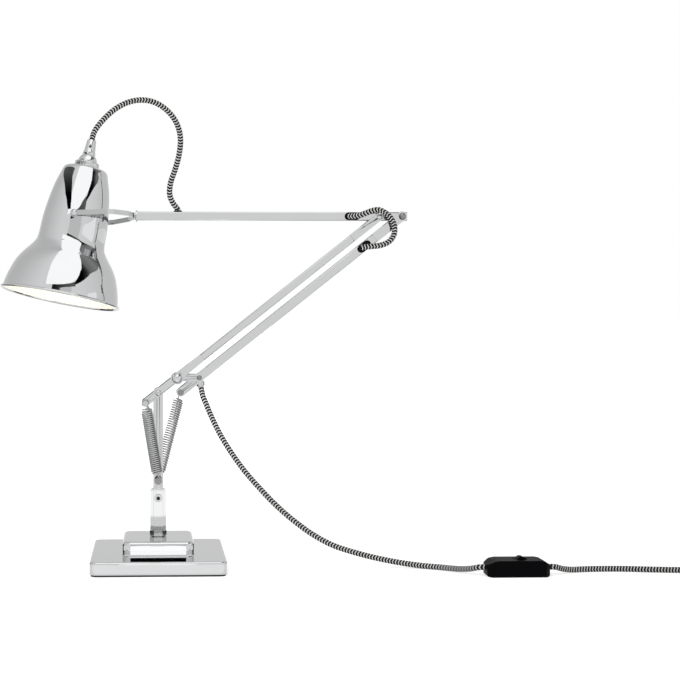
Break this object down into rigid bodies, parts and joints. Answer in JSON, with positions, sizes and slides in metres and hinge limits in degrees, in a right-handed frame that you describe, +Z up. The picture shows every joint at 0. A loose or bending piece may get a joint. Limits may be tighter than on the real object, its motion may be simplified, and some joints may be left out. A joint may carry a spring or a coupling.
{
  "type": "adjustable desk lamp",
  "caption": "Spring balanced desk lamp with a stepped square base, parallel square tubes, a forearm and a bell shade in a yoke, with a woven cord, switch and plug.",
  "frame": {"origin": "centre of the foot pad's underside, where the lamp stands", "axes": "+X along the arms towards the elbow, +Y away from the near side, +Z up"},
  "size_m": [0.8969, 0.1665, 0.5333],
  "materials": {
    "chrome": "polished",
    "chrome_satin": "satin",
    "cast_iron": "as cast",
    "bronze": "sintered",
    "rubber": "matte",
    "black_plastic": "matte",
    "white_plastic": "satin",
    "opal_glass": "opal",
    "cord_fabric": "woven"
  },
  "bodies": {
    "base": {"foot_pad": "rubber", "base_cover": "chrome", "base_weight": "cast_iron", "base_socket": "bronze", "power_cord": "cord_fabric", "lead_cord": "cord_fabric", "cord_coil": "cord_fabric", "plug_cord": "cord_fabric", "switch_base": "black_plastic", "switch_cover": "black_plastic", "plug_body": "black_plastic", "plug_pins": "chrome_satin"},
    "column": {"spindle": "chrome_satin", "hex_collar": "chrome", "column_block": "chrome", "side_plate_near": "chrome", "side_plate_far": "chrome", "shoulder_spacer": "chrome_satin", "column_screw": "chrome_satin", "anchor_pin": "chrome", "shoulder_bolt": "chrome_satin"},
    "lower_arm": {"shoulder_fork": "chrome", "lower_tube": "chrome", "spring_pins": "chrome_satin", "knob_bolt": "chrome_satin", "link_spacers": "chrome_satin", "elbow_cheeks": "chrome", "elbow_bolt": "chrome"},
    "link": {"link_plates": "chrome"},
    "knob": {"friction_knob": "chrome"},
    "forearm": {"forearm_tube": "chrome", "forearm_grommet": "black_plastic", "top_grommet": "black_plastic", "end_collar": "chrome_satin", "elbow_cord": "cord_fabric", "shade_cord": "cord_fabric"},
    "rear_arm": {"rear_tube": "chrome", "rear_lever": "chrome", "lever_bolt": "chrome_satin", "link_screws": "chrome", "rear_cheeks": "chrome", "rear_bolt": "chrome_satin", "rear_grommet": "black_plastic", "cord_bush": "black_plastic"},
    "yoke": {"yoke": "chrome", "yoke_screws": "chrome_satin"},
    "shade": {"shade_shell": "chrome", "shade_pivots": "chrome", "shade_ring": "chrome", "shade_cap": "chrome", "cord_grip": "chrome", "grub_screw": "chrome_satin", "lampholder": "white_plastic", "bulb": "opal_glass"},
    "front_springs": {"front_spring_near": "chrome", "front_spring_far": "chrome"},
    "spring_bush": {"rear_spring_bush": "bronze"},
    "rear_spring": {"rear_spring": "chrome"},
    "rocker": {"switch_rocker": "black_plastic"}
  },
  "joints": [
    {"name": "swivel", "type": "hinge", "parent": "base", "child": "column", "pos_m": [0, 0, 0.04], "axis": [0, 0, 1], "range_deg": [-170, 170], "deforming": ["power_cord"]},
    {"name": "shoulder", "type": "hinge", "parent": "column", "child": "lower_arm", "pos_m": [0, 0, 0.196], "axis": [0, -1, 0], "range_deg": [-25, 45]},
    {"name": "elbow", "type": "hinge", "parent": "lower_arm", "child": "forearm", "pos_m": [0.25313, 0, 0.39663], "axis": [0, -1, 0], "range_deg": [-80, 12], "deforming": ["elbow_cord"]},
    {"name": "link_swing", "type": "hinge", "parent": "lower_arm", "child": "link", "pos_m": [0.02116, 0, 0.21277], "axis": [0, -1, 0], "range_deg": [-80, 12]},
    {"name": "rear_elbow", "type": "hinge", "parent": "forearm", "child": "rear_arm", "pos_m": [0.27863, 0, 0.39663], "axis": [0, -1, 0], "range_deg": [-12, 80]},
    {"name": "front_spring_swing", "type": "hinge", "parent": "lower_arm", "child": "front_springs", "pos_m": [-0.01458, 0, 0.18445], "axis": [0, -1, 0], "range_deg": [-52, 29], "deforming": ["front_spring_near", "front_spring_far"]},
    {"name": "spring_bush_turn", "type": "hinge", "parent": "rear_arm", "child": "spring_bush", "pos_m": [0.0255, 0, 0.196], "axis": [0, -1, 0], "range_deg": [-45, 25]},
    {"name": "rear_spring_swing", "type": "hinge", "parent": "column", "child": "rear_spring", "pos_m": [0, 0, 0.097], "axis": [0, -1, 0], "range_deg": [-2, 10], "deforming": ["rear_spring"]},
    {"name": "knob_turn", "type": "hinge", "parent": "lower_arm", "child": "knob", "pos_m": [0.02116, 0, 0.21277], "axis": [0, -1, 0], "range_deg": [-180, 180]},
    {"name": "yoke_roll", "type": "hinge", "parent": "forearm", "child": "yoke", "pos_m": [-0.02387, 0, 0.39663], "axis": [1, 0, 0], "range_deg": [-75, 75], "deforming": ["shade_cord"]},
    {"name": "shade_tilt", "type": "hinge", "parent": "yoke", "child": "shade", "pos_m": [-0.09342, -0.00027, 0.39409], "axis": [0, -0.9945, 0.1045], "range_deg": [-50, 35]},
    {"name": "rocker_press", "type": "hinge", "parent": "base", "child": "rocker", "pos_m": [0.39575, -0.077, 0.014], "axis": [0, -1, 0], "range_deg": [-8, 8]}
  ],
  "couplings": [
    {"joint": "link_swing", "follows": "elbow", "ratio": 1},
    {"joint": "rear_elbow", "follows": "elbow", "ratio": -1},
    {"joint": "front_spring_swing", "follows": "shoulder", "ratio": -1.15},
    {"joint": "spring_bush_turn", "follows": "shoulder", "ratio": -1},
    {"joint": "rear_spring_swing", "follows": "elbow", "ratio": -0.12}
  ]
}
